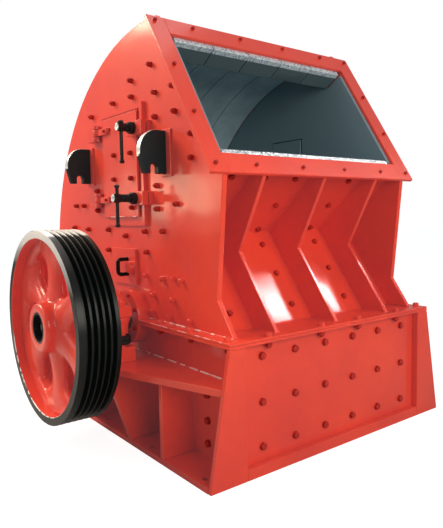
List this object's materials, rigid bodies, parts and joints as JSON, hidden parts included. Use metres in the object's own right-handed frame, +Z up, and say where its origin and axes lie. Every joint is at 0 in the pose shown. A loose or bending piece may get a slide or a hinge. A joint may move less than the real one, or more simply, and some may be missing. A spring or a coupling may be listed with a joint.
{
  "type": "hammer crusher",
  "caption": "Single-rotor hammer crusher with a sloping feed mouth, a welded base, two bearings, side hatches and a grooved belt pulley.",
  "frame": {"origin": "on the floor, in the middle of the anchor holes of the base", "axes": "+X along the rotor, away from the pulley; -Y towards the feed mouth; +Z up"},
  "size_m": [2.4245, 2.32, 2.39],
  "materials": {
    "red_paint": "gloss",
    "black_paint": "gloss",
    "black_steel": "satin",
    "wear_steel": "satin",
    "bright_steel": "brushed",
    "machined_steel": "satin",
    "pulley_rim": "gloss"
  },
  "bodies": {
    "frame": {"base_sides": "red_paint", "base_end_walls": "red_paint", "end_plates": "red_paint", "sole_plates": "red_paint", "sole_bars": "red_paint", "base_flange": "red_paint", "bearing_shelf_left": "red_paint", "bearing_shelf_right": "red_paint", "shelf_gussets": "red_paint", "bearing_base_left": "red_paint", "bearing_base_right": "red_paint", "bearing_cap_left": "red_paint", "bearing_cap_right": "red_paint", "bearing_studs": "black_paint", "shaft_seals": "red_paint", "housing_flange": "red_paint", "side_plate_left": "red_paint", "side_plate_right": "red_paint", "roof_plate": "red_paint", "front_wall_upper": "red_paint", "front_wall_lower": "red_paint", "front_ribs": "red_paint", "feed_flange": "red_paint", "roof_liners": "wear_steel", "front_liners": "wear_steel", "mouth_liners": "bright_steel", "side_liners": "wear_steel", "hatch_frames": "red_paint", "hatch_hinges": "red_paint", "lifting_lugs": "black_paint", "lug_pads": "red_paint", "shaft_covers": "red_paint", "cover_handles": "black_paint"},
    "rotor": {"rotor_shaft": "machined_steel", "rotor_discs": "wear_steel", "hammer_pins": "machined_steel", "hammers": "wear_steel", "pulley_rim": "pulley_rim", "pulley_arms": "red_paint"},
    "hatch_left": {"hatch_door_left": "red_paint", "door_clamps_left": "red_paint", "clamp_screws_left": "black_steel"},
    "hatch_right": {"hatch_door_right": "red_paint", "door_clamps_right": "red_paint", "clamp_screws_right": "black_steel"}
  },
  "joints": [
    {"name": "rotor_spin", "type": "hinge", "parent": "frame", "child": "rotor", "pos_m": [0, -0.14, 0.69], "axis": [1, 0, 0], "continuous": true},
    {"name": "hatch_left_swing", "type": "hinge", "parent": "frame", "child": "hatch_left", "pos_m": [-0.767, 0.24, 1.6], "axis": [0, 0, -1], "range_deg": [0, 100]},
    {"name": "hatch_right_swing", "type": "hinge", "parent": "frame", "child": "hatch_right", "pos_m": [0.767, 0.24, 1.6], "axis": [0, 0, 1], "range_deg": [0, 100]}
  ]
}
